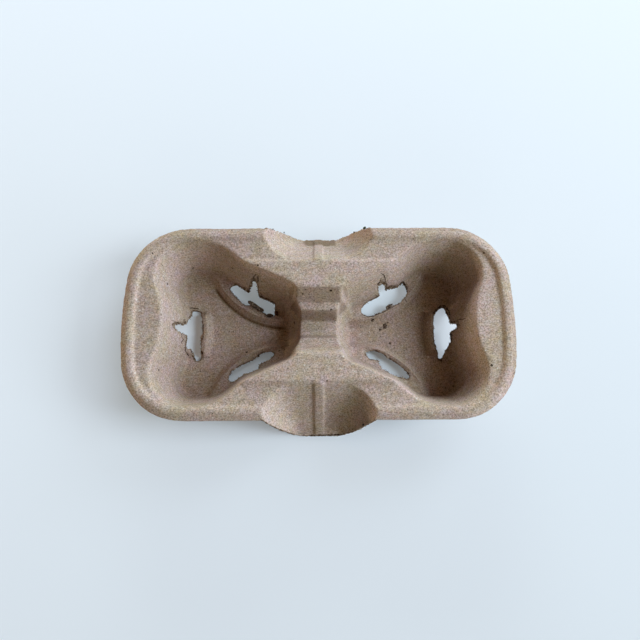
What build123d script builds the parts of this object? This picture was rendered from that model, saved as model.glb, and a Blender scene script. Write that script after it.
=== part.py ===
from build123d import *
from math import atan, atan2, cos, radians, sin, tan
import os

# Moulded pulp carrier for two cups: one sheet of pressed fibre with a raised border, two
# three-lobed wells with torn slots in their floors, a stepped bridge between them and a
# sloping notch in each long side. Millimetres, +Z up, X along the carrier. It stands on
# Z = 0, with the origin under its middle.

# Sheet and overall sizes
wall = 1.8
carrier_length = 215.6
carrier_width = 108.0
rim_height = 39.0

# Border: an outer slope down to the lip, a crown, and a step down to the land inside it
end_bow_radius = 220.0
corner_radius = 34.0
lip_drop = 2.4
lip_slope = 54.0
crown_inset_end = 6.1
crown_inset_side = 6.1
land_drop = 2.0
step_width_end = 1.3
step_width_side = 1.8
crown_round = 1.1

# Wells: a rounded outline with three bulges that grip the cup, drawn from the well's centre
well_spacing = 101.0
well_draft = 15.5
end_bulge_reach = 32.6
end_bulge_radius = 51.0
lobe_reach = 50.7
lobe_half_width = 47.3
lobe_radius = 20.0
shoulder_offset = 5.1
shoulder_radius = 30.0
side_bulge_offset = 10.4
side_bulge_half_width = 33.3
side_bulge_radius = 15.0
bridge_side_reach = 40.0
bridge_side_half_width = 20.2
bridge_corner_radius = 11.5
floor_round = 1.5

# Bay in the wall under the bridge, steep down to its knee and flared below it: reach, half width
# and corner radius at the crown, at the knee and at the floor
bay_knee = 18.0
bay_crown = (40.3, 20.0, 11.5)
bay_middle = (39.8, 13.9, 10.0)
bay_foot = (32.4, 11.6, 9.0)

# Raised pads on the well floor, one in front of each bulge, the one at the end cut short
pad_reach = 12.6
pad_edge_radius = 50.0
pad_height = 4.0
pad_slope = 40.0
end_pad_half_width = 14.0

# Bridge between the wells: a plateau with a stepped channel across it
plateau_half_width = 33.9
plateau_reach = 48.0
channel_half_width = 18.5
ledge_outer = 12.5
ledge_inner = 7.8
channel_floor_half_width = 4.4
ledge_drop = 10.0
channel_drop = 21.0
bridge_round = 1.5

# Notch in each long side: a sloping panel with a rib, between two scooped flanks
notch_half_width = 30.5
notch_corner_radius = 16.5
panel_half_width = 9.3
foot_corner_radius = 1.5
foot_reach = 60.0
panel_run = 27.5
flank_bow = 1.2
rib_width = 5.0
rib_height = 1.1
rib_foot_gap = 4.5

# Torn slots in the pads, from each well's centre: west well at -X, east well at +X
west_slots = [
    [(-21, 14), (-19.5, 8), (-19, 2), (-20, -4), (-19.5, -10), (-20.5, -15), (-22.5, -15.5),
     (-24.5, -8.5), (-27.5, -8.5), (-27.5, -0.5), (-31, -0.5), (-32, 1), (-31.5, 2.5),
     (-28.5, 5.5), (-25.5, 11.5), (-26, 15)],
    [(-2.5, 27.5), (-1, 29.5), (1, 30), (3.5, 28), (9, 25), (11.5, 27), (13, 28), (14, 27.5),
     (14, 24), (14.5, 22.5), (17.5, 21), (21, 19.5), (24, 18), (24, 13.5), (25, 12), (22.5, 11),
     (19, 12), (13.5, 17), (11, 18.5), (6.5, 18), (1, 23)],
    [(-2, -27.5), (-0.5, -23), (3, -20.5), (12.5, -16), (17, -12), (24, -11.5), (23, -14),
     (15, -18.5), (14.5, -21.5), (10.5, -23.5), (7.5, -23), (4.5, -25), (1, -28), (-1, -28.5)],
]
east_slots = [
    [(18.5, 6.5), (19, 10), (21, 13.5), (23, 15.5), (25.5, 16), (27.5, 6), (30, 3.5), (30, 2),
     (29.5, 0.5), (27.5, 1), (27.5, -5.5), (24, -10.5), (22, -15.5), (21, -15), (21, -12),
     (19.5, -10.5), (18.5, -5)],
    [(-24.5, 14.5), (-22, 18), (-16, 21), (-13.5, 22.5), (-15.5, 25.5), (-14.5, 26.5),
     (-12, 26.5), (-10.5, 25.5), (-2.5, 28), (0, 30.5), (2, 29), (2.5, 25.5), (1.5, 22.5),
     (-2.5, 18), (-6, 17.5), (-9.5, 15), (-18, 11), (-21.5, 10.5), (-24, 12)],
    [(-23, -11.5), (-17.5, -11), (-13.5, -13), (-4.5, -19), (-0.5, -22.5), (2, -26),
     (1.5, -27.5), (-5.5, -25.5), (-9.5, -25), (-10.5, -22.5), (-13, -21.5), (-15.5, -16),
     (-20, -15.5), (-22.5, -13)],
]

# How far the cutting solids pass the faces that they cut, the room around the forms, and how
# near a level an edge counts as on it
margin = 1.0
spare = 5.0
touch = 0.1


def border_outline(inset_end, inset_side):
    """The carrier's outline, moved in at its ends and its long sides."""
    bow_centre = carrier_length / 2 - end_bow_radius
    with BuildSketch() as outline:
        Rectangle(carrier_length + 2 * spare, carrier_width - 2 * inset_side)
        for side in (-1, 1):
            with Locations((side * bow_centre, 0)):
                Circle(end_bow_radius - inset_end, mode=Mode.INTERSECT)
        fillet(outline.vertices(), corner_radius - max(inset_end, inset_side))
    return outline.sketch


def bridge_profile(skin):
    """Section across the bridge: a plateau with sloping ends and a stepped channel in it."""
    end_slope = panel_run / rim_height
    upper_slope = (channel_half_width - ledge_outer) / ledge_drop
    lower_slope = (ledge_inner - channel_floor_half_width) / (channel_drop - ledge_drop)
    crown = rim_height - skin
    ledge = crown - ledge_drop
    floor = crown - channel_drop
    base = floor - spare
    end_grow = skin * (1 / cos(atan(end_slope)) - end_slope)
    upper_grow = skin * (1 / cos(atan(upper_slope)) - upper_slope)
    lower_grow = skin * (1 / cos(atan(lower_slope)) - lower_slope)
    corners = [(plateau_half_width - end_grow, crown),
               (channel_half_width + upper_grow, crown),
               (ledge_outer + upper_grow, ledge),
               (ledge_inner + lower_grow, ledge),
               (channel_floor_half_width + lower_grow, floor)]
    corners += [(-y, z) for y, z in reversed(corners)]
    foot = plateau_half_width - end_grow + end_slope * (land_drop + spare)
    with BuildSketch() as profile:
        with BuildLine():
            Polyline((foot, base), (foot, crown - land_drop - spare), *corners,
                     (-foot, crown - land_drop - spare), (-foot, base), close=True)
        make_face()
        for corner in corners:
            fillet(profile.vertices().sort_by_distance(corner)[0], bridge_round)
    return profile.sketch


def apron_outline(grow):
    """Plan of the notch's flanks and panel outside the border, for the +Y side."""
    edge = carrier_width / 2
    inside = edge - crown_inset_side
    foot_half_width = panel_half_width + foot_corner_radius
    middle = (notch_half_width + foot_half_width) / 2
    middle_reach = (edge + foot_reach) / 2 + flank_bow
    with BuildSketch() as outline:
        with BuildLine():
            right = ThreePointArc((notch_half_width, edge), (middle, middle_reach),
                                  (foot_half_width, foot_reach))
            left = ThreePointArc((-foot_half_width, foot_reach), (-middle, middle_reach),
                                 (-notch_half_width, edge))
            Line(right @ 1, left @ 0)
            Polyline(left @ 1, (-notch_half_width, inside), (notch_half_width, inside), right @ 0)
        make_face()
        if grow:
            offset(amount=grow, kind=Kind.INTERSECTION)
    return outline.sketch


def notch_section(height, skin):
    """The notch's opening at a height, from its back line outwards, for the +Y side."""
    fall = (rim_height - height) / rim_height
    foot_half_width = panel_half_width + foot_corner_radius
    shift = skin / sin(atan2(rim_height, panel_run))
    grow = skin / cos(atan2(notch_half_width - foot_half_width, rim_height))
    back = plateau_half_width + panel_run * fall - shift
    half_width = notch_half_width + (foot_half_width - notch_half_width) * fall + grow
    radius = notch_corner_radius + (foot_corner_radius - notch_corner_radius) * fall + grow
    front = foot_reach + panel_run
    with BuildSketch() as section:
        with Locations((0, (back + front) / 2)):
            Rectangle(2 * half_width, front - back)
        fillet(section.vertices().sort_by(Axis.Y)[:2], radius)
    return section.sketch


def rib_profile(skin):
    """Section along the rib that runs down the notch's panel, in the plane through Y and Z."""
    steepness = atan2(rim_height, panel_run)
    crown = rim_height - skin
    along = (cos(steepness), -sin(steepness))
    out = (sin(steepness), cos(steepness))
    length = (rim_height - skin) / sin(steepness) - rib_foot_gap
    start = (plateau_half_width + panel_run / rim_height * skin - skin / out[0], crown)
    with BuildSketch() as profile:
        with BuildLine():
            Polyline(start, (start[0] + rib_height / out[0], crown),
                     (start[0] + along[0] * length + out[0] * rib_height,
                      crown + along[1] * length + out[1] * rib_height),
                     (start[0] + along[0] * length, crown + along[1] * length), close=True)
        make_face()
    return profile.sketch


def well_outline(grow):
    """The well's outline at crown height, drawn from its own centre, outer end towards +X."""
    upper = [(lobe_reach, lobe_half_width, lobe_radius),
             (shoulder_offset, lobe_half_width, shoulder_radius),
             (-side_bulge_offset, side_bulge_half_width, side_bulge_radius),
             (-bridge_side_reach, bridge_side_half_width, bridge_corner_radius)]
    lower = [(x, -y, radius) for x, y, radius in reversed(upper)]
    corners = [(end_bulge_reach, 0, end_bulge_radius)] + upper + lower
    with BuildSketch() as outline:
        with BuildLine():
            Polyline(*[(x, y) for x, y, radius in corners], close=True)
        make_face()
        for x, y, radius in corners:
            fillet(outline.vertices().sort_by_distance((x, y))[0], radius)
        if grow:
            offset(amount=grow)
    return outline.sketch


def bay_plug(skin):
    """The solid that presses the +X well's bay, drawn from the well's centre."""
    floor = wall - skin
    crown_reach, knee_reach, foot_reach = (section[0] for section in (bay_crown, bay_middle, bay_foot))
    upper = atan((crown_reach - knee_reach) / (rim_height - bay_knee))
    lower = atan((knee_reach - foot_reach) / (bay_knee - wall))
    turn = (lower - upper) / 2
    knee_grow = skin * cos((upper + lower) / 2) / cos(turn)
    knee_shift = skin * sin((upper + lower) / 2) / cos(turn)
    foot_grow = skin * (1 / cos(lower) - tan(lower))
    sections = [(rim_height, bay_crown, skin / cos(upper)),
                (bay_knee - knee_shift, bay_middle, knee_grow),
                (floor, bay_foot, foot_grow)]
    with BuildPart() as bay:
        for height, (reach, half_width, radius), grow in sections:
            with BuildSketch(Plane.XY.offset(height)) as section:
                with Locations((-reach / 2 - grow / 2, 0)):
                    Rectangle(reach + grow, 2 * (half_width + grow))
                fillet(section.vertices().sort_by(Axis.X)[:2], radius + grow)
        loft(ruled=True)
    return bay.part


def floor_pads(skin):
    """The pads on the +X well's floor, drawn from the well's centre."""
    floor = wall - skin
    foot_shift = skin * (1 / cos(radians(pad_slope)) - tan(radians(pad_slope)))
    foot_radius = pad_edge_radius - foot_shift
    top_radius = foot_radius - pad_height * tan(radians(pad_slope))
    pad_centre = pad_reach + pad_edge_radius
    with BuildPart() as pads:
        with Locations((pad_centre, 0, floor + pad_height / 2)):
            Cone(foot_radius, top_radius, pad_height)
        with BuildSketch(Plane.XY.offset(floor)):
            Rectangle(4 * pad_edge_radius, 2 * (end_pad_half_width - foot_shift))
        extrude(amount=pad_height, taper=pad_slope, mode=Mode.INTERSECT)
        with Locations((0, 0, floor + pad_height / 2)):
            with PolarLocations(pad_centre, 2, start_angle=120, angular_range=120, endpoint=True):
                Cone(foot_radius, top_radius, pad_height)
    return pads.part


def well_plug(skin):
    """The solid that presses the +X well, with its end hollowed for the floor's pads."""
    floor = wall - skin
    outline = well_outline(skin / cos(radians(well_draft)))
    with BuildPart() as plug:
        with BuildSketch(Plane.XY.offset(rim_height)):
            add(outline)
        extrude(amount=floor - rim_height, taper=well_draft)
        with BuildSketch(Plane.XY.offset(rim_height)):
            add(outline)
        extrude(amount=spare)
        add(bay_plug(skin))
        add(floor_pads(skin), mode=Mode.SUBTRACT)
        foot = (floor - touch, floor + pad_height + touch)
        fillet(plug.edges().filter_by_position(Axis.Z, *foot), floor_round)
    return plug.part.moved(Location((well_spacing / 2, 0, 0)))


def notch_apron(grow, height):
    """The solid under the +Y notch's flanks and panel, outside the border."""
    with BuildPart() as apron:
        with BuildSketch():
            add(apron_outline(grow))
        extrude(amount=height)
    return apron.part


def notch_tool(skin):
    """The solid that presses the +Y notch."""
    with BuildPart() as tool:
        for height in (0, rim_height + margin):
            with BuildSketch(Plane.XY.offset(height)):
                add(notch_section(height, skin))
        loft(ruled=True)
    return tool.part


def notch_rib(skin):
    """The rib that runs down the +Y notch's panel."""
    with BuildPart() as rib:
        with BuildSketch(Plane.YZ):
            add(rib_profile(skin))
        extrude(amount=(rib_width - skin) / 2, both=True)
    return rib.part


def tool_form(skin):
    """The solid under the sheet: below its upper face at skin 0, below its lower face at wall."""
    crown = rim_height - skin
    land = rim_height - land_drop
    beyond = margin if skin else 0
    lip = rim_height - lip_drop - skin / sin(radians(lip_slope)) - beyond / tan(radians(lip_slope))
    outline = border_outline(-beyond, -beyond)
    with BuildPart() as form:
        with BuildSketch(Plane.XY.offset(-beyond)):
            add(outline)
        extrude(amount=lip + beyond)
        with BuildSketch(Plane.XY.offset(lip)):
            add(outline)
        extrude(amount=crown - lip, taper=lip_slope)

        # Recess inside the border
        for height in (land - skin, rim_height + margin):
            rise = (height - land) / land_drop
            with BuildSketch(Plane.XY.offset(height)):
                add(border_outline(crown_inset_end + step_width_end * (1 - rise) - skin,
                                   crown_inset_side + step_width_side * (1 - rise) - skin))
        loft(ruled=True, mode=Mode.SUBTRACT)
        if not skin:
            fillet(form.edges().filter_by_position(Axis.Z, crown - touch, crown + touch), crown_round)

        # Bridge: a gap is cleared for it first
        with Locations((0, 0, rim_height)):
            Box(2 * plateau_reach, 2 * plateau_half_width, 2 * (channel_drop + skin), mode=Mode.SUBTRACT)
        with BuildSketch(Plane.YZ.offset(-plateau_reach)):
            add(bridge_profile(skin))
        extrude(amount=2 * plateau_reach)

        # Notches and wells
        apron = notch_apron(beyond, lip)
        notch = notch_tool(skin)
        rib = notch_rib(skin)
        plug = well_plug(skin)
        add([apron, apron.mirror(Plane.XZ)])
        add([notch, notch.mirror(Plane.XZ), plug, plug.mirror(Plane.YZ)], mode=Mode.SUBTRACT)
        add([rib, rib.mirror(Plane.XZ)])
    return form.part


with BuildPart() as cup_carrier:
    add(tool_form(0))
    add(tool_form(wall), mode=Mode.SUBTRACT)
    for side, slots in ((-1, west_slots), (1, east_slots)):
        with BuildSketch():
            with Locations((side * well_spacing / 2, 0)):
                for slot in slots:
                    Polygon(*slot, align=None)
        extrude(amount=rim_height, mode=Mode.SUBTRACT)

cup_carrier.part.label = "cup_carrier"
os.makedirs("parts", exist_ok=True)
export_step(cup_carrier.part, "parts/cup_carrier.step")
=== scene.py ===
from collections import namedtuple
from math import copysign, cos, exp, radians, sin
from random import Random
import bmesh
import bpy
from mathutils import Matrix, Vector, noise
from mathutils.bvhtree import BVHTree
from mathutils.kdtree import KDTree


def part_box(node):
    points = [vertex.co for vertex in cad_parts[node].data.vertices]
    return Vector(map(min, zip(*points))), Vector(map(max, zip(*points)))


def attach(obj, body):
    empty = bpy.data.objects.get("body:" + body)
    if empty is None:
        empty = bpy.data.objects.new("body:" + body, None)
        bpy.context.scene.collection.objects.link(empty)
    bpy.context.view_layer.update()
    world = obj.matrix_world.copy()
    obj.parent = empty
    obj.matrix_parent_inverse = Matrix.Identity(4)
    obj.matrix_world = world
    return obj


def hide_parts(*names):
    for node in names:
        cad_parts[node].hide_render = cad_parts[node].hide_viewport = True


# Moulded pulp carrier for two cups. The CAD solid gives the form, and this script turns a copy of
# it into pressed fibre: soft brows, a lightly wavy felted skin and torn, fibrous edges. Metres,
# with the carrier standing on Z = 0, X along it and +Y towards the far notch.

# Without a seed, noise vectors follow the clock. With one, each run gives the same torn tabs
random_seed = 7
noise.seed_set(random_seed)

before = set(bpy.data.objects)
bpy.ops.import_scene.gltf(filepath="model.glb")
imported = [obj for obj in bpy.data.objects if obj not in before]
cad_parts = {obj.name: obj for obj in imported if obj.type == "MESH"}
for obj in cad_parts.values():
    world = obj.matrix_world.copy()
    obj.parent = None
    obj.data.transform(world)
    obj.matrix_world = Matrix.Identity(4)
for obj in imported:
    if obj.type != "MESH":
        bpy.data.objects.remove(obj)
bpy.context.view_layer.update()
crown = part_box("cup_carrier")[1].z

# The camera, found by fitting the carrier's outline to the photograph
camera_distance = 0.348
camera_near = 0.01
camera_lens = 36.0
camera_sensor = 36.0
camera_tilt = radians(14)
camera_side = radians(-0.2)
camera_roll = radians(-0.35)
camera_shift = (0.0007, -0.0003)

# The pulp sheet: its voxels and faces, how flat the normal of an upright face is, how much and
# how far its cut edges and its brows are softened, and its relief
pulp_voxel = 0.0006
pulp_faces = 190000
upright_limit = 0.02
skin_passes = 3
edge_share = 0.12
edge_hold = 0.0008
edge_free = 0.0028
brow_passes = 12
brow_angle = radians(60)
brow_near = 0.0015
brow_far = 0.0045
wave_size = 0.016
wave_height = 0.00022
felt_size = 0.0035
felt_height = 0.00008
fray_size = 0.0014
fray_height = 0.0002
noise_seed = Vector((3.1, 7.7, 1.3))

# The two notches' free edges: how much rougher they are, and how strongly and how far in their cut
# edges are painted shade in torn pulp's colours
notch_fray = 3.0
notch_edge_shade = 0.9
notch_shade_rim = (0.0002, 0.0011)

# The wells' floor pads, as rings round a centre beyond each bulge. Each has its own lip along the
# top, groove along the foot, painted shade along the foot and that shade's width, by the well's
# side and the pad's turn
Pad = namedtuple("Pad", "lip groove stain width")
well_side = 0.0505
pad_centre = 0.0626
pad_arc = (0.85, 0.90)
end_pad_side = 0.0135
pad_foot = 0.0504
pad_top = 0.0468
pad_level = 0.0065
pad_limit = 1.25 * pad_level
crease_width = 0.00065
pads = {
    (-1, 0): Pad(0.0006, 0.0001, 0.0, 0.0007),
    (-1, 120): Pad(0.0006, 0.0009, 0.95, 0.0009),
    (-1, 240): Pad(0.0010, 0.0002, 0.1, 0.0007),
    (1, 0): Pad(0.0002, 0.0005, 0.6, 0.0028),
    (1, 120): Pad(0.0011, 0.0002, 0.15, 0.0007),
    (1, 240): Pad(0.0010, 0.0002, 0.1, 0.0007),
}

# The floor: its paint, the shade where the carrier covers it, and the glow that the camera and
# reflections see, but the carrier's own pulp doesn't. The glow falls off across the floor
floor_reach = 4
floor_colour = (0.42, 0.42, 0.42)
floor_shade = (0.82, 0.87, 0.93)
shade_centre = (-0.031, 0, 0)
shade_half_size = (0.067, 0.036, 0)
shade_reach = 0.042
floor_glow = (0.80, 0.91, 1.03)
glow_strength = (0.075, 0.49)
glow_slope = (-0.75, 0.55, 0)
glow_span = (-0.3, 0.3)
glow_fall = (0.64, 1.24)

# The studio: window light from the carrier's right and back, weak returns from the left and the
# front, and a faint light from all round. Each lamp has its azimuth and elevation in degrees, its
# side in metres, its power and its colour
lamp_distance = 1.2
lamps = {
    "low_window": (-20, 15, 0.5, 6.2, (0.70, 0.83, 1.0)),
    "high_window": (-5, 39, 0.5, 11.0, (0.76, 0.90, 1.0)),
    "corner_window": (45, 35, 0.5, 6.2, (0.74, 0.87, 1.0)),
    "back_window": (93, 13, 0.45, 9.2, (0.80, 0.96, 1.0)),
    "left_return": (170, 4.5, 0.28, 6.6, (1.0, 0.85, 0.65)),
    "front_return": (270, 20, 0.5, 1.9, (0.88, 0.97, 0.83)),
}
fill_colour = (1.0, 0.62, 0.25)
fill_strength = 0.09
backdrop_colour = (0.56, 0.65, 0.72)

# Painted shade, and a darker strip at the far panel's foot: what they leave of the pulp's colour,
# and how strong they are on the bridge's slopes, in the wells, on the east end's wall, at the far
# panel's foot and on the border's outer slope where it leans to the east and the far side
painted_shade_and_strip_tone = (0.40, 0.33, 0.23)
slope_painted_shade = 0.45
well_painted_shade = 0.18
end_wall_painted_shade = 0.34
foot_strip_darkening = 0.8
border_painted_shade = 0.26

# Where the painted shade and the strip lie: the strip at the far panel's foot, by its two ends and
# its start, the slopes near the bridge's middle, and the heights, lengths and leans over which the
# rest fade
foot_strip = (-0.0095, 0.0118, 0.0510)
strip_waver = 0.0009
strip_fade = (0.0002, 0.0017)
bridge_reach = 0.0165
bridge_level = 0.016
bridge_slopes = (0.003, 0.02)
slope_lean = (0.3, 0.65)
well_fade = (0.008, 0.014)
end_wall = (0.062, 0.078)
end_fade = (0.020, 0.030)
border_level = 0.034
border_lean = (0.35, 0.65)
border_end = (0.096, 0.104)
border_side = (0.047, 0.050)

# Torn slots: how far a tear thins the sheet, and how rough it leaves it
torn_reach = 0.0024
torn_thinning = 0.00055
torn_size = 0.0024
torn_height = 0.0007
shred_size = 0.0010
shred_height = 0.0005

# How cracks, spots and grit are made
crack_step = 0.00025
crack_taper = 0.0008
crack_tip = crack_taper / 8
crack_wander = 0.0003
wander_size = 0.0011
ragged_size = 0.0006
crack_stand = 0.00012
crack_depth = 0.0004
lump_height = 0.9
spot_lumps = 1700
spot_swell = 1.15
spot_flatness = 0.4
grit_lumps = 1100

# How the torn tabs are made. The side that holds points this way at the east well, and mirrored
# at the west one
tab_level = 0.0065
tab_thickness = 0.0007
tab_roughness = 0.00035
tab_hold = Vector((0.5, -0.86))

# Shreds that stand on the torn rims, and the loose fibres that stick out of them
strand_count = 140
strand_radius = 0.00007
strand_length = (0.0008, 0.0026)
strand_bend = 0.35
shred_count = 420
shred_radius = (0.00014, 0.00038)
shred_length = (0.0004, 0.0012)
shred_bend = 0.4

# Cracks that run out from the torn slots, two dark lines of painted shade by the west end pad and
# a dark line along the near panel's foot: paths on the plan, and half their width, in millimetres
cracks = [
    ([(-78.7, 16.9), (-76.1, 16.8), (-72.4, 16.3)], 0.35),
    ([(-83.3, 3.2), (-81.1, 4.3)], 0.4),
    ([(-79.8, -1.2), (-79.5, -3.7), (-79.3, -5.1), (-79.9, -7.3)], 0.4),
    ([(-79.0, -8.6), (-74.5, -8.4)], 0.4),
    ([(-78.9, -8.8), (-78.4, -11.2), (-76.9, -13.0)], 0.35),
    ([(-75.4, -12.3), (-73.0, -15.4)], 0.45),
    ([(-79.6, 7.0), (-79.0, 7.9)], 0.8),
    # Painted shade, no cracks: the dark pocket at the west end pad's south end, and the pad's
    # shadowed edge along its slot
    ([(-69.7, -10.2), (-68.4, -12.2)], 1.1),
    ([(-69.0, 6.0), (-68.6, 1.0), (-68.8, -4.0)], 0.5),
    ([(-37.4, 27.2), (-36.8, 28.2), (-34.9, 28.7)], 0.6),
    ([(-34.3, 28.2), (-35.0, 25.7), (-35.4, 23.5)], 0.5),
    ([(-34.9, 23.2), (-33.3, 21.6)], 0.4),
    ([(-26.4, 13.4), (-25.0, 12.0), (-24.0, 10.6)], 1.0),
    ([(-50.4, 23.2), (-49.0, 26.4), (-46.5, 26.8)], 0.7),
    ([(36.0, 28.9), (37.5, 28.8), (38.9, 27.6), (39.9, 26.6), (40.9, 25.3)], 0.6),
    ([(36.2, 27.6), (35.1, 26.5), (34.8, 25.8)], 0.6),
    ([(35.6, 23.7), (36.3, 22.7), (34.6, 21.3)], 0.7),
    ([(48.8, 29.2), (51.1, 31.3), (52.4, 29.8), (53.4, 27.6), (53.5, 24.8)], 0.6),
    ([(53.0, 23.2), (50.2, 20.7)], 0.5),
    ([(51.5, 20.7), (53.6, 19.5)], 0.3),
    ([(34.0, 11.0), (37.4, 12.0), (40.6, 13.2)], 0.6),
    ([(30.2, 10.4), (33.4, 9.8)], 0.6),
    ([(69.4, 11.8), (71.4, 14.9), (74.2, 17.0), (77.4, 17.4)], 0.9),
    ([(77.6, 16.8), (78.5, 13.4), (78.6, 9.7)], 0.7),
    ([(80.2, 5.2), (81.9, 4.3), (83.2, 3.5)], 0.5),
    ([(80.6, 2.4), (81.5, 0.6)], 0.5),
    ([(77.8, 0.7), (79.7, 0.6)], 0.9),
    ([(78.3, 0.2), (78.5, -2.9), (78.2, -5.6), (76.0, -8.6)], 0.7),
    ([(72.9, -14.4), (72.9, -17.6)], 0.4),
    ([(26.1, 12.6), (27.5, 10.9), (29.5, 10.1), (31.6, 10.3), (33.4, 10.6)], 0.6),
    ([(34.3, -12.3), (40.5, -15.2), (47.6, -20.1), (52.7, -24.9)], 0.6),
    ([(29.3, -13.8), (31.0, -15.0)], 0.6),
    ([(-36.4, -13.7), (-33.5, -13.0)], 1.0),
    ([(-32.3, -11.6), (-26.4, -11.7)], 0.5),
    ([(-48.4, -24.9), (-46.7, -26.1)], 0.8),
    ([(-44.4, -23.2), (-42.1, -22.9)], 0.8),
    # No crack: a dark line along the near panel's foot
    ([(-6.0, -59.7), (12.0, -59.5)], 0.7),
]

# Dark fibres and grit that stand out one by one: places on the plan in millimetres, and radius
spots = [
    ((-87.4, 26.1), 0.75), ((-75.0, 39.2), 0.75), ((-88.6, -25.3), 0.55), ((-8.7, 15.8), 0.6),
    ((7.2, 8.2), 0.6), ((39.9, 4.8), 1.8), ((39.1, 5.5), 0.9), ((36.9, 2.9), 0.9),
    ((42.6, -5.5), 0.65), ((41.5, 7.2), 0.5), ((32.4, 8.2), 1.2), ((-33.6, 31.3), 0.6),
]

# Torn tabs that still hang at the slots: outline on the plan, and how far the free side droops,
# all in millimetres. The west and east tabs lie on the sheet in dark pulp, painted shade that
# stands in for a flap hanging in shadow and for a shadowed gash
tabs = {
    "west_tab": ([(-42.3, 19.9), (-41.0, 20.2), (-39.5, 19.7), (-38.3, 18.5), (-36.3, 17.0),
                  (-34.4, 15.7), (-32.8, 14.6), (-32.7, 13.4), (-35.1, 13.3), (-37.3, 14.7),
                  (-39.4, 16.1), (-40.8, 17.2), (-42.2, 18.7)], 0.5),
    "west_scrap": ([(-31.1, 11.4), (-29.9, 11.9), (-28.5, 11.8), (-27.0, 11.4), (-27.2, 10.2),
                    (-28.7, 9.4), (-30.5, 9.6), (-31.3, 10.5)], 0.4),
    "east_tab": ([(40.3, 15.8), (41.4, 16.5), (42.2, 17.2), (44.3, 17.9), (43.9, 16.4),
                  (43.1, 15.0), (41.4, 14.3), (40.7, 13.8)], 0.2),
}

# Grit caught on the rim and in a slot: place and radius in millimetres, and colour
grit = [
    ((26.6, 55.5, 33.2), 0.85, (0.018, 0.030, 0.008)),
    ((21.2, 57.4, 21.6), 0.5, (0.10, 0.09, 0.07)),
    ((-20.4, 58.3, 19.4), 0.45, (0.11, 0.12, 0.12)),
    ((-26.1, 55.8, 30.9), 0.4, (0.16, 0.15, 0.12)),
    ((-51.2, -53.5, 36.9), 0.4, (0.12, 0.10, 0.08)),
    ((24.0, -55.7, 26.3), 0.6, (0.03, 0.015, 0.008)),
    ((-25.3, 12.3, 6.0), 1.0, (0.09, 0.035, 0.022)),
]


def new_material(name):
    """A material with a Principled BSDF wired to its output, and that BSDF."""
    material = bpy.data.materials.new(name)
    material.use_nodes = True
    tree = material.node_tree
    tree.nodes.clear()
    shader = tree.nodes.new("ShaderNodeBsdfPrincipled")
    output = tree.nodes.new("ShaderNodeOutputMaterial")
    tree.links.new(shader.outputs["BSDF"], output.inputs["Surface"])
    return material, shader


def add_node(tree, kind, sockets, **settings):
    """A node with its settings, and its sockets given values or linked to other nodes' outputs."""
    node = tree.nodes.new(kind)
    for key, value in settings.items():
        setattr(node, key, value)
    for key, value in sockets.items():
        socket = node.inputs[key]
        if isinstance(value, bpy.types.NodeSocket):
            tree.links.new(value, socket)
        else:
            socket.default_value = (*value, 1) if socket.type == "RGBA" else value
    return node


def object_place(tree):
    """Where a point of the surface lies, in the carrier's own frame."""
    return add_node(tree, "ShaderNodeTexCoord", {}).outputs["Object"]


def calculate(tree, operation, *values):
    """A Math node's result."""
    return add_node(tree, "ShaderNodeMath", dict(enumerate(values)), operation=operation).outputs[0]


def vector_math(tree, operation, *vectors, result="Vector"):
    """A Vector Math node's result, which is its Value where the result is a length or a product."""
    return add_node(tree, "ShaderNodeVectorMath", dict(enumerate(vectors)),
                    operation=operation).outputs[result]


def to_range(tree, value, old, new, kind="LINEAR"):
    """A value brought from one range into another, and held within it."""
    sockets = {"Value": value, "From Min": old[0], "From Max": old[1],
               "To Min": new[0], "To Max": new[1]}
    return add_node(tree, "ShaderNodeMapRange", sockets, interpolation_type=kind).outputs[0]


def soft_mask(tree, value, low, high):
    """0 below low and 1 above high, with a soft change between."""
    return to_range(tree, value, (low, high), (0.0, 1.0), "SMOOTHSTEP")


def mottle(tree, place, scale, detail, roughness=0.5):
    """Noise of one scale over the surface."""
    return add_node(tree, "ShaderNodeTexNoise", {"Vector": place, "Scale": scale, "Detail": detail,
                                                 "Roughness": roughness}).outputs["Fac"]


def ramp(tree, source, stops):
    """A colour ramp through (position, colour) stops."""
    node = add_node(tree, "ShaderNodeValToRGB", {"Fac": source})
    elements = node.color_ramp.elements
    elements[0].position, elements[0].color = stops[0][0], (*stops[0][1], 1)
    elements[1].position, elements[1].color = stops[-1][0], (*stops[-1][1], 1)
    for position, colour in stops[1:-1]:
        elements.new(position).color = (*colour, 1)
    return node.outputs["Color"]


def mix(tree, share, first, second, blend="MIX"):
    """One colour over another, by a mask or a fixed share."""
    return add_node(tree, "ShaderNodeMix", {0: share, 6: first, 7: second},
                    data_type="RGBA", blend_type=blend).outputs[2]


def coat(tree, shader, colour, height, strength, depth):
    """Gives a material its colour, and a bump that is finer than the geometry."""
    tree.links.new(colour, shader.inputs["Base Color"])
    bump = add_node(tree, "ShaderNodeBump", {"Height": height, "Strength": strength,
                                             "Distance": depth})
    tree.links.new(bump.outputs["Normal"], shader.inputs["Normal"])


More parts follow.
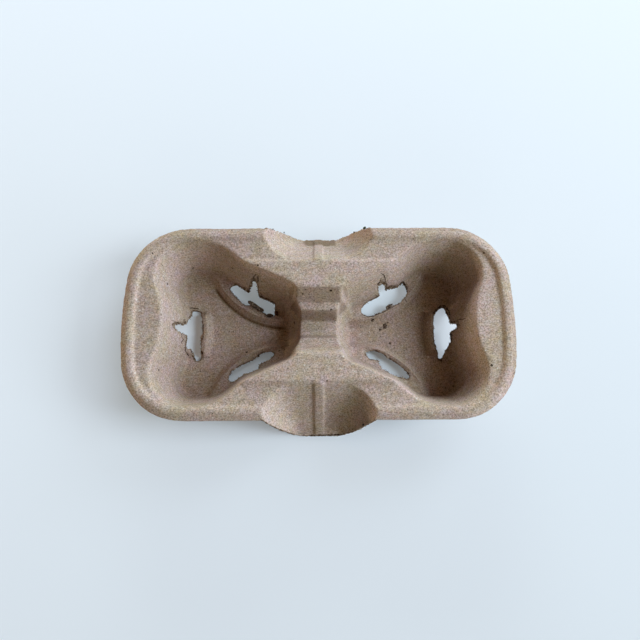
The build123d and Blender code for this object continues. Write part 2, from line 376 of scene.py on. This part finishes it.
def speck_group():
    """Scattered specks of one size: a mask that is 1 on a speck, for a share of the cells."""
    tree = bpy.data.node_groups.new("specks", "ShaderNodeTree")
    for name, default in (("Scale", 500.0), ("Radius", 0.2), ("Share", 0.1)):
        socket = tree.interface.new_socket(name, in_out="INPUT", socket_type="NodeSocketFloat")
        socket.default_value = default
    tree.interface.new_socket("Vector", in_out="INPUT", socket_type="NodeSocketVector")
    tree.interface.new_socket("Mask", in_out="OUTPUT", socket_type="NodeSocketFloat")
    inputs = tree.nodes.new("NodeGroupInput").outputs

    # Noise bends the space that the cells lie in, so no speck is round
    bend = (0.0007, 0.0007, 0.0007)
    wobble = add_node(tree, "ShaderNodeTexNoise", {"Vector": inputs["Vector"], "Scale": 900.0,
                                                   "Detail": 2.0}).outputs["Color"]
    bent = vector_math(tree, "MULTIPLY_ADD", wobble, bend, inputs["Vector"])
    cells = add_node(tree, "ShaderNodeTexVoronoi", {"Vector": bent, "Scale": inputs["Scale"],
                                                    "Randomness": 1.0})
    draw = add_node(tree, "ShaderNodeSeparateColor", {"Color": cells.outputs["Color"]})
    near = calculate(tree, "LESS_THAN", cells.outputs["Distance"], inputs["Radius"])
    picked = calculate(tree, "LESS_THAN", draw.outputs["Red"], inputs["Share"])
    output = tree.nodes.new("NodeGroupOutput")
    tree.links.new(calculate(tree, "MULTIPLY", near, picked), output.inputs["Mask"])
    return tree


def specks(tree, group, place, scale, radius, share):
    """The speck mask of one size, in a material."""
    return add_node(tree, "ShaderNodeGroup", {"Vector": place, "Scale": scale, "Radius": radius,
                                              "Share": share}, node_tree=group).outputs["Mask"]


def fibres(tree, place, turn, scale):
    """Short fibres lying one way: a mask from noise stretched along them."""
    lie = add_node(tree, "ShaderNodeMapping", {"Vector": place, "Rotation": turn,
                                               "Scale": (0.16, 1.0, 1.0)})
    drawn_out = add_node(tree, "ShaderNodeTexNoise", {"Vector": lie.outputs[0], "Scale": scale,
                                                      "Detail": 1.0, "Distortion": 0.6})
    return soft_mask(tree, drawn_out.outputs["Fac"], 0.62, 0.70)


def grained_pulp(tree, place):
    """The pulp's own colour: broad tints from olive to pink, small clouds and felted grain."""
    broad = mottle(tree, place, scale=75.0, detail=6.0, roughness=0.72)
    small = mottle(tree, place, scale=330.0, detail=3.0, roughness=0.6)
    fine = mottle(tree, place, scale=1250.0, detail=2.0, roughness=0.8)
    tint = ramp(tree, broad, [(0.36, (0.450, 0.354, 0.248)), (0.5, (0.474, 0.352, 0.281)),
                              (0.64, (0.497, 0.351, 0.316))])
    cloud = ramp(tree, small, [(0.3, (1.01, 0.94, 0.83)), (0.7, (0.99, 1.05, 1.16))])
    grain = ramp(tree, fine, [(0.28, (0.36, 0.33, 0.30)), (0.5, (1, 1, 1)),
                              (0.72, (1.56, 1.59, 1.64))])
    return mix(tree, 1.0, mix(tree, 1.0, tint, cloud, "MULTIPLY"), grain, "MULTIPLY")


def flecked(tree, place, colour):
    """Pale and dark fibres, and specks of other paper, over the pulp's colour."""
    fibre_share = 0.55
    for turn, scale, tone in (((0.3, 0.2, 0.4), 2600.0, (0.62, 0.55, 0.47)),
                              ((0.1, 0.5, 1.9), 2300.0, (0.60, 0.53, 0.46)),
                              ((0.4, 0.1, 2.8), 2500.0, (0.22, 0.16, 0.11))):
        veil = calculate(tree, "MULTIPLY", fibres(tree, place, turn, scale), fibre_share)
        colour = mix(tree, veil, colour, tone)
    group = speck_group()
    for scale, radius, share, tone in ((520.0, 0.20, 0.16, (0.66, 0.60, 0.53)),
                                       (430.0, 0.17, 0.14, (0.16, 0.115, 0.08)),
                                       (140.0, 0.10, 0.10, (0.07, 0.045, 0.03))):
        colour = mix(tree, specks(tree, group, place, scale, radius, share), colour, tone)
    return colour


def carried_share(tree, name):
    """A share that the mesh carries at its vertices."""
    return add_node(tree, "ShaderNodeAttribute", {}, attribute_name=name,
                    attribute_type="GEOMETRY").outputs["Fac"]


def painted_shade_and_torn(tree, place, colour):
    """Painted shade and the darker strip at the far panel's foot, and torn edges that are dark in
    places, partly as painted shade, and pale and fibrous in others.
    """
    # Painted shade in the wells, on slopes and at the border, and the darker strip at the far
    # panel's foot
    darkened = mix(tree, 1.0, colour, painted_shade_and_strip_tone, "MULTIPLY")
    colour = mix(tree, carried_share(tree, "stain"), colour, darkened)
    # Torn edges' dark browns are partly painted shade, the shadow in the sheet's cut thickness, and
    # partly torn pulp's own colour
    patches = mottle(tree, place, scale=420.0, detail=4.0, roughness=0.7)
    torn = ramp(tree, patches, [(0.40, (0.10, 0.055, 0.032)), (0.52, (0.24, 0.16, 0.10)),
                                (0.64, (0.58, 0.49, 0.40))])
    return mix(tree, soft_mask(tree, carried_share(tree, "torn"), 0.45, 0.85), colour, torn)


def moulded_pulp():
    """Recycled grey-brown pulp: clouds, grain, fibres, specks, painted shade, a darker strip and
    tears.
    """
    material, shader = new_material("moulded_pulp")
    tree = material.node_tree
    place = object_place(tree)
    colour = painted_shade_and_torn(tree, place, flecked(tree, place, grained_pulp(tree, place)))
    fine = mottle(tree, place, scale=1500.0, detail=3.0, roughness=0.7)
    coat(tree, shader, colour, fine, strength=0.7, depth=0.0003)
    shader.inputs["Roughness"].default_value = 0.92
    shader.inputs["Specular IOR Level"].default_value = 0.25
    return material


def dark_pulp_and_painted_shade():
    """Dark brown pulp with paler streaks: for cracks and spots, and as painted shade on the torn
    tabs and some crack paths.
    """
    material, shader = new_material("dark_pulp_and_painted_shade")
    tree = material.node_tree
    streak = mottle(tree, object_place(tree), scale=950.0, detail=4.0, roughness=0.7)
    colour = ramp(tree, streak, [(0.40, (0.030, 0.016, 0.010)), (0.54, (0.110, 0.066, 0.042)),
                                 (0.68, (0.42, 0.33, 0.25))])
    coat(tree, shader, colour, streak, strength=0.8, depth=0.0003)
    shader.inputs["Roughness"].default_value = 0.85
    shader.inputs["Specular IOR Level"].default_value = 0.25
    return material


def grit_stone(name, colour):
    """Grit of one colour, with darker and paler patches."""
    material, shader = new_material(name)
    tree = material.node_tree
    patch = mottle(tree, object_place(tree), scale=2500.0, detail=3.0)
    tone = ramp(tree, patch, [(0.35, tuple(0.5 * share for share in colour)),
                              (0.65, tuple(1.8 * share for share in colour))])
    coat(tree, shader, tone, patch, strength=0.8, depth=0.0002)
    shader.inputs["Roughness"].default_value = 0.8
    return material


def smooth_step(value, low, high):
    """0 below low and 1 above high, with a soft change between."""
    share = min(max((value - low) / (high - low), 0), 1)
    return share * share * (3 - 2 * share)


def nearness(edges, place, near, far):
    """1 nearer than near to the edges and 0 beyond far, with a soft change between."""
    distance = edges.find_nearest(place, far)[3]
    return 0.0 if distance is None else 1 - smooth_step(distance, near, far)


def upright_faces(mesh, is_wanted):
    """The sheet's cut edges, which are its only upright faces off the ribs, as a search tree."""
    rib_half_width = 0.003
    faces = []
    for polygon in mesh.polygons:
        corners = [mesh.vertices[i].co for i in polygon.vertices]
        on_rib = all(abs(co.x) < rib_half_width for co in corners)
        if abs(polygon.normal.z) < upright_limit and not on_rib and is_wanted(polygon.center):
            faces.append(tuple(polygon.vertices))
    return BVHTree.FromPolygons([vertex.co for vertex in mesh.vertices], faces)


def in_a_well(place):
    """Whether a place on the sheet's cut edges belongs to a torn slot."""
    well_reach = 0.034
    return Vector((abs(place.x) - well_side, place.y)).length < well_reach


def on_a_notch(place):
    """Whether a place lies along the free edge of one of the two notches."""
    notch_reach = 0.031
    notch_side = 0.0535
    return abs(place.x) < notch_reach and abs(place.y) > notch_side


def pad_rings(place):
    """The floor pads near a place: its distance from each one's centre, how far it lies within
    the arc that shows, and the pad."""
    rings = []
    if place.z > pad_limit:
        return rings
    for (side, turn), pad in pads.items():
        if side * place.x < 0 or turn == 0 and abs(place.y) > end_pad_side:
            continue
        out = Vector((cos(radians(turn)), sin(radians(turn))))
        away = Vector((abs(place.x) - well_side, place.y)) - out * pad_centre
        rings.append((away.length, smooth_step(-away.normalized().dot(out), *pad_arc), pad))
    return rings


def on_ring(distance, radius, width):
    """1 on a ring and 0 away from it."""
    return exp(-((distance - radius) / width) ** 2)


def pad_relief(place):
    """The groove along each floor pad's foot and the lip along its top."""
    height = sum(within * (pad.lip * on_ring(distance, pad_top, crease_width)
                           - pad.groove * on_ring(distance, pad_foot, crease_width))
                 for distance, within, pad in pad_rings(place))
    return height * (1 - smooth_step(place.z, pad_level, pad_limit))


def border_shade_share(place, normal):
    """How much painted shade the border's outer slope gets, where it leans to the east at the east
    end and to the far side along it.
    """
    if place.z <= border_level:
        return 0.0
    return (smooth_step(normal.x, *border_lean) * smooth_step(place.x, *border_end)
            + smooth_step(normal.y, *border_lean) * smooth_step(place.y, *border_side))


def painted_shade_and_strip_share(place, normal):
    """How dark a place is painted: the darker strip at the far panel's foot, painted shade on the
    bridge's slopes that face -Y, or else painted shade at the pads' feet, all over the wells'
    floors, on the east end's wall and the border."""
    # A darker strip at the far panel's foot
    west, east, start = foot_strip
    if west < place.x < east and place.y > start:
        inset = min(place.x - west, east - place.x, place.y - start)
        inset += noise.noise(place / felt_size) * strip_waver
        return foot_strip_darkening * smooth_step(inset, *strip_fade)
    # Painted shade on the bridge's slopes that face -Y
    on_bridge = abs(place.x) < bridge_reach and place.z > bridge_level
    if on_bridge and bridge_slopes[0] < place.y < bridge_slopes[1]:
        return slope_painted_shade * smooth_step(-normal.y, *slope_lean)
    # Painted shade along the pads' feet, where their grooves and slopes lie in shade
    foot = max([within * pad.stain * on_ring(distance, pad_foot, pad.width)
                for distance, within, pad in pad_rings(place)], default=0.0)
    # Painted shade over the wells' lower parts, fading with height
    well = well_painted_shade * (1 - smooth_step(place.z, *well_fade))
    # Painted shade on the east end's low wall
    end = smooth_step(place.x, *end_wall) * (1 - smooth_step(place.z, *end_fade))
    # The border's painted shade where its outer slope leans towards the east and the far side
    return foot + well + end_wall_painted_shade * end + border_painted_shade * border_shade_share(place, normal)


def brow_points(solid):
    """Points along the solid's sharp bends, which the wet pulp rounds off."""
    spacing = 0.001
    points = []
    for edge in solid.edges:
        if len(edge.link_faces) != 2 or edge.calc_face_angle(0) < brow_angle:
            continue
        if any(abs(face.normal.z) < upright_limit for face in edge.link_faces):
            continue
        start, end = (vertex.co for vertex in edge.verts)
        steps = int((end - start).length / spacing) + 1
        points += [start.lerp(end, step / steps) for step in range(steps + 1)]
    tree = KDTree(len(points))
    for index, point in enumerate(points):
        tree.insert(point, index)
    tree.balance()
    return tree


def apply_modifiers(piece):
    """The piece's mesh with its modifiers made part of it."""
    graph = bpy.context.evaluated_depsgraph_get()
    mesh = bpy.data.meshes.new_from_object(piece.evaluated_get(graph))
    piece.modifiers.clear()
    piece.data = mesh
    return mesh


def soften(piece, passes, shares):
    """Smooths the piece, each vertex by its own share."""
    group = piece.vertex_groups.new(name="share")
    for index, share in enumerate(shares):
        group.add([index], share, "REPLACE")
    smooth = piece.modifiers.new("soften", "SMOOTH")
    smooth.factor = 0.5
    smooth.iterations = passes
    smooth.vertex_group = "share"
    mesh = apply_modifiers(piece)
    piece.vertex_groups.clear()
    return mesh


def roughen(mesh, tears, softened):
    """Gives the skin its waves and felt, frays its cut edges, thins and tears the slots' rims, and
    raises the pads' lips and grooves. Nothing goes under the floor."""
    floor_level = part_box("cup_carrier")[0].z
    normals = [vertex.normal.copy() for vertex in mesh.vertices]
    for vertex, normal, share in zip(mesh.vertices, normals, softened):
        place = vertex.co
        tear = nearness(tears, place, 0, torn_reach)
        fraying = notch_fray if on_a_notch(place) else 1.0
        wave = noise.noise(place / wave_size + noise_seed) * wave_height
        felt = noise.noise(place / felt_size + noise_seed) * felt_height
        fray = noise.noise(place / fray_size + noise_seed) * fray_height * (1 - share) * fraying
        rough = tear * (noise.noise(place / torn_size - noise_seed) * torn_height
                        + noise.noise(place / shred_size + noise_seed) * shred_height)
        vertex.co = place + normal * (wave + felt + fray + rough - torn_thinning * tear)
        vertex.co.z += pad_relief(place)
        vertex.co.z = max(vertex.co.z, floor_level)


def mark_tears_and_painted_shade(mesh, cut_edges, tears):
    """Writes on the skin how torn each place is, and how dark it is painted by painted shade and
    the far panel's foot strip, for its material.
    """
    torn = mesh.attributes.new("torn", "FLOAT", "POINT")
    stain = mesh.attributes.new("stain", "FLOAT", "POINT")
    for vertex in mesh.vertices:
        # Along the notches' free edges the torn colours are painted shade, the shade of the cut
        # edge
        if on_a_notch(vertex.co):
            share = notch_edge_shade * nearness(cut_edges, vertex.co, *notch_shade_rim)
        else:
            share = nearness(tears, vertex.co, 0, torn_reach)
        torn.data[vertex.index].value = share
        stain.data[vertex.index].value = painted_shade_and_strip_share(vertex.co, vertex.normal)


def pulp_sheet():
    """The carrier's visible skin: the CAD solid remeshed, softened at its brows and felted."""
    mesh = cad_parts["cup_carrier"].data.copy()
    solid = bmesh.new()
    solid.from_mesh(mesh)
    bmesh.ops.remove_doubles(solid, verts=solid.verts, dist=1e-6)
    solid.to_mesh(mesh)
    bends = brow_points(solid)
    solid.free()
    cut_edges = upright_faces(mesh, lambda place: True)
    tears = upright_faces(mesh, in_a_well)

    piece = bpy.data.objects.new("carrier_skin", mesh)
    bpy.context.collection.objects.link(piece)
    remesh = piece.modifiers.new("voxels", "REMESH")
    remesh.mode = "VOXEL"
    remesh.voxel_size = pulp_voxel
    mesh = apply_modifiers(piece)

    # The cut edges keep their place, and the brows are softened most
    softened = []
    brow = []
    for vertex in mesh.vertices:
        distance = cut_edges.find_nearest(vertex.co, edge_free)[3]
        away = 1.0 if distance is None else smooth_step(distance, edge_hold, edge_free)
        softened.append(edge_share + (1 - edge_share) * away)
        brow.append(1 - smooth_step(bends.find(vertex.co)[2], brow_near, brow_far))
    soften(piece, skin_passes, softened)
    mesh = soften(piece, brow_passes, [a * b for a, b in zip(softened, brow)])
    roughen(mesh, tears, softened)

    thin = piece.modifiers.new("thin", "DECIMATE")
    triangles = sum(len(polygon.vertices) - 2 for polygon in mesh.polygons)
    thin.ratio = min(1, pulp_faces / triangles)
    mesh = apply_modifiers(piece)
    mesh.shade_smooth()
    mark_tears_and_painted_shade(mesh, cut_edges, tears)
    return piece


def finished(name, form, torn_share):
    """A piece of moulded pulp from a bmesh, torn all over by one share."""
    bmesh.ops.recalc_face_normals(form, faces=form.faces)
    mesh = bpy.data.meshes.new(name)
    form.to_mesh(mesh)
    form.free()
    torn = mesh.attributes.new("torn", "FLOAT", "POINT")
    for value in torn.data:
        value.value = torn_share
    piece = bpy.data.objects.new(name, mesh)
    bpy.context.collection.objects.link(piece)
    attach(piece, "root")
    return piece


def torn_tab(name, outline, droop):
    """A torn tab of sheet: its outline made a face, given a thickness, drooped and roughened."""
    form = bmesh.new()
    face = form.faces.new([form.verts.new((x / 1000, y / 1000, tab_level)) for x, y in outline])
    if face.normal.z < 0:
        face.normal_flip()
    lower = bmesh.ops.extrude_face_region(form, geom=[face])["geom"]
    bmesh.ops.translate(form, vec=(0, 0, -tab_thickness),
                        verts=[part for part in lower if isinstance(part, bmesh.types.BMVert)])
    bmesh.ops.triangulate(form, faces=form.faces)
    bmesh.ops.subdivide_edges(form, edges=form.edges, cuts=3, use_grid_fill=True)

    # The droop grows from the side that holds to the free side
    middle = sum((Vector((x, y)) for x, y in outline), Vector((0, 0))) / len(outline) / 1000
    towards = Vector((copysign(tab_hold.x, middle.x), tab_hold.y))
    reach = max(abs((vertex.co.xy - middle).dot(towards)) for vertex in form.verts)
    for vertex in form.verts:
        free = 0.5 - 0.5 * (vertex.co.xy - middle).dot(towards) / reach
        vertex.co.z -= droop / 1000 * free * free
        vertex.co += noise.noise_vector(vertex.co / torn_size + noise_seed) * tab_roughness
    return finished(name, form, torn_share=0.8)


def tube(form, rings):
    """A closed three-sided tube through rings of three corners, or nothing if they are too few."""
    if len(rings) < 3:
        return
    for lower, upper in zip(rings, rings[1:]):
        for side in range(3):
            beside = (side + 1) % 3
            form.faces.new((lower[side], lower[beside], upper[beside], upper[side]))
    form.faces.new(reversed(rings[0]))
    form.faces.new(rings[-1])


def strand(form, root, aim, length, radius, bend):
    """One fibre or shred: a bent spike whose foot is sunk in the skin."""
    steps = 4
    taper = 0.8
    sunk = 0.15
    turn = aim.to_track_quat("Z", "Y")
    rings = []
    for step in range(steps + 1):
        up = step / steps
        wide = radius * (1 - taper * up)
        aside = bend * up * up * length
        ring = [Vector((wide * cos(angle) + aside, wide * sin(angle), (up - sunk) * length))
                for angle in (0, radians(120), radians(240))]
        rings.append([form.verts.new(root + turn @ corner) for corner in ring])
    tube(form, rings)


def skin_below(surface, x, y):
    """Where the skin's upper face lies at a place on the plan, and its normal there."""
    above = 0.05
    return surface.ray_cast(Vector((x, y, above)), Vector((0, 0, -1)))[:2]


def crack(form, surface, points, half_width):
    """One crack: a thin dark sliver that follows the skin along a path on the plan, and stops
    where there is no skin."""
    corners = [Vector(point) / 1000 for point in points]
    total = sum((end - start).length for start, end in zip(corners, corners[1:]))
    rings = []
    passed = 0.0
    for start, end in zip(corners, corners[1:]):
        length = (end - start).length
        along = (end - start).normalized()
        across = Vector((-along.y, along.x, 0))
        steps = max(1, round(length / crack_step))
        for step in range(steps + 1):
            here = passed + length * step / steps
            spot = start.lerp(end, step / steps).to_3d()
            spot += across * noise.noise(spot / wander_size + noise_seed) * crack_wander
            hit, normal = skin_below(surface, spot.x, spot.y)
            if hit is None:
                tube(form, rings)
                rings = []
                continue
            taper = min(1, (here + crack_tip) / crack_taper,
                        (total - here + crack_tip) / crack_taper)
            ragged = 0.85 + 0.5 * noise.noise(spot / ragged_size - noise_seed)
            half = half_width / 1000 * taper * ragged
            side = normal.cross(along.to_3d()).normalized() * half
            top = hit + normal * crack_stand
            ring = (top + side, top - side, hit - normal * crack_depth)
            rings.append([form.verts.new(corner) for corner in ring])
        passed += length
    tube(form, rings)


def marks(skin):
    """The cracks round the slots and the single dark spots, on the skin's upper face."""
    mesh = skin.data
    surface = BVHTree.FromPolygons([vertex.co for vertex in mesh.vertices],
                                   [tuple(polygon.vertices) for polygon in mesh.polygons])
    form = bmesh.new()
    for points, half_width in cracks:
        crack(form, surface, points, half_width)
    loose = [vertex for vertex in form.verts if not vertex.link_faces]
    bmesh.ops.delete(form, geom=loose, context="VERTS")
    flat = Matrix.Diagonal((1, 1, spot_flatness, 1))
    for (x, y), radius in spots:
        hit, normal = skin_below(surface, x / 1000, y / 1000)
        lay = Matrix.Translation(hit) @ normal.to_track_quat("Z", "Y").to_matrix().to_4x4()
        ball = bmesh.ops.create_icosphere(form, subdivisions=2, matrix=lay @ flat,
                                          radius=radius / (1000 * spot_swell))["verts"]
        for vertex in ball:
            swell = 1 + lump_height * noise.noise(vertex.co * spot_lumps)
            vertex.co = hit + (vertex.co - hit) * swell
    return finished("cracks", form, torn_share=0.0)


def astray(rng, aside, low, high):
    """A random turn away from the skin's normal: sideways by up to aside, and up by low to high."""
    return Vector((rng.uniform(-aside, aside), rng.uniform(-aside, aside), rng.uniform(low, high)))


def torn_strands(skin):
    """Shreds that stand on the torn rims, and loose fibres that stick out of them."""
    fully_torn = 0.8
    notch_start = 0.05
    floor_gap = 0.003
    lowest_aim = -0.2
    rim_aim = 0.6
    rng = Random(random_seed)
    torn = skin.data.attributes["torn"].data
    roots = [vertex for vertex in skin.data.vertices
             if torn[vertex.index].value > fully_torn and abs(vertex.co.y) < notch_start
             and vertex.normal.z > lowest_aim and vertex.co.z > floor_gap]
    rims = [vertex for vertex in roots if vertex.normal.z < rim_aim]
    form = bmesh.new()
    for root in rng.sample(roots, strand_count):
        aim = root.normal + astray(rng, 1, 0.1, 0.8)
        strand(form, root.co, aim, rng.uniform(*strand_length), strand_radius,
               rng.uniform(-strand_bend, strand_bend))
    for root in rng.sample(rims, shred_count):
        aim = root.normal + astray(rng, 0.7, -0.3, 0.3)
        strand(form, root.co, aim, rng.uniform(*shred_length), rng.uniform(*shred_radius),
               rng.uniform(-shred_bend, shred_bend))
    return finished("torn_fibres", form, torn_share=0.9)


def grit_piece(name, place, radius, colour):
    """A crumb of grit: a small lumpy ball."""
    form = bmesh.new()
    bmesh.ops.create_icosphere(form, subdivisions=2, radius=radius / 1000)
    for vertex in form.verts:
        vertex.co *= 1 + lump_height * noise.noise(vertex.co * grit_lumps + Vector(place))
        vertex.co += Vector(place) / 1000
    piece = finished(name, form, torn_share=0.0)
    piece.data.materials.append(grit_stone(name, colour))
    piece.data.shade_smooth()


def pale_floor():
    """The floor's paint: paler to the camera than to the carrier, with a little light of its own,
    and darker where the carrier covers it."""
    material, shader = new_material("pale_floor")
    tree = material.node_tree
    place = object_place(tree)
    path = add_node(tree, "ShaderNodeLightPath", {}).outputs
    seen = calculate(tree, "MAXIMUM", path["Is Camera Ray"], path["Is Glossy Ray"])

    # How far a place lies outside the box that the carrier covers
    sideways = vector_math(tree, "ABSOLUTE", vector_math(tree, "SUBTRACT", place, shade_centre))
    beyond = vector_math(tree, "SUBTRACT", sideways, shade_half_size)
    outside = vector_math(tree, "MAXIMUM", beyond, (0, 0, 0))
    gap = vector_math(tree, "LENGTH", outside, result="Value")
    uncovered = soft_mask(tree, gap, 0.0, shade_reach)
    paint = mix(tree, uncovered, floor_shade, floor_colour)
    tree.links.new(mix(tree, seen, floor_colour, paint), shader.inputs["Base Color"])
    shader.inputs["Roughness"].default_value = 0.8
    shader.inputs["Specular IOR Level"].default_value = 0.1

    slope = vector_math(tree, "DOT_PRODUCT", place, glow_slope, result="Value")
    glow = calculate(tree, "MULTIPLY", to_range(tree, uncovered, (0.0, 1.0), glow_strength),
                     to_range(tree, slope, glow_span, glow_fall))
    shader.inputs["Emission Color"].default_value = (*floor_glow, 1)
    tree.links.new(calculate(tree, "MULTIPLY", glow, seen), shader.inputs["Emission Strength"])
    return material


def floor():
    """A plain pale floor."""
    plane = bmesh.new()
    bmesh.ops.create_grid(plane, x_segments=1, y_segments=1, size=floor_reach)
    mesh = bpy.data.meshes.new("floor")
    plane.to_mesh(mesh)
    plane.free()
    piece = bpy.data.objects.new("floor", mesh)
    bpy.context.collection.objects.link(piece)
    mesh.materials.append(pale_floor())
    return piece


def lamp(name, azimuth, elevation, size, power, colour):
    """A square area lamp to one side, aimed at the carrier."""
    level = cos(elevation) * lamp_distance
    place = Vector((level * cos(azimuth), level * sin(azimuth), sin(elevation) * lamp_distance))
    data = bpy.data.lights.new(name, "AREA")
    data.size = size
    data.energy = power
    data.color = colour
    light = bpy.data.objects.new(name, data)
    light.location = place
    light.rotation_euler = (-place).to_track_quat("-Z", "Y").to_euler()
    bpy.context.collection.objects.link(light)


def surroundings():
    """An even faint light from all round, and what the camera sees beyond the floor."""
    world = bpy.data.worlds.new("studio")
    world.use_nodes = True
    tree = world.node_tree
    path = add_node(tree, "ShaderNodeLightPath", {}).outputs
    light = tuple(fill_strength * share for share in fill_colour)
    tree.links.new(mix(tree, path["Is Camera Ray"], light, backdrop_colour),
                   tree.nodes["Background"].inputs["Color"])
    bpy.context.scene.world = world


def photo_camera():
    """The camera above the carrier, turned and placed as the photograph's was."""
    data = bpy.data.cameras.new("camera")
    data.lens = camera_lens
    data.sensor_width = camera_sensor
    data.clip_start = camera_near
    camera = bpy.data.objects.new("camera", data)
    turn = (Matrix.Rotation(camera_side, 4, "Y") @ Matrix.Rotation(camera_tilt, 4, "X")
            @ Matrix.Rotation(camera_roll, 4, "Z"))
    camera.matrix_world = (Matrix.Translation((0, 0, crown)) @ turn
                           @ Matrix.Translation((*camera_shift, camera_distance)))
    bpy.context.collection.objects.link(camera)
    bpy.context.scene.camera = camera


skin = pulp_sheet()
pulp = moulded_pulp()
dark_and_shade = dark_pulp_and_painted_shade()
skin.data.materials.clear()
skin.data.materials.append(pulp)
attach(skin, "root")
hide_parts("cup_carrier")
# The tabs' dark pulp is painted shade
for name, (outline, droop) in tabs.items():
    torn_tab(name, outline, droop).data.materials.append(dark_and_shade)
torn_strands(skin).data.materials.append(pulp)
marks(skin).data.materials.append(dark_and_shade)
for number, (place, radius, colour) in enumerate(grit, start=1):
    grit_piece(f"grit_{number}", place, radius, colour)

floor()
for name, (azimuth, elevation, size, power, colour) in lamps.items():
    lamp(name, radians(azimuth), radians(elevation), size, power, colour)
surroundings()
photo_camera()
bpy.context.scene.view_settings.view_transform = "Standard"
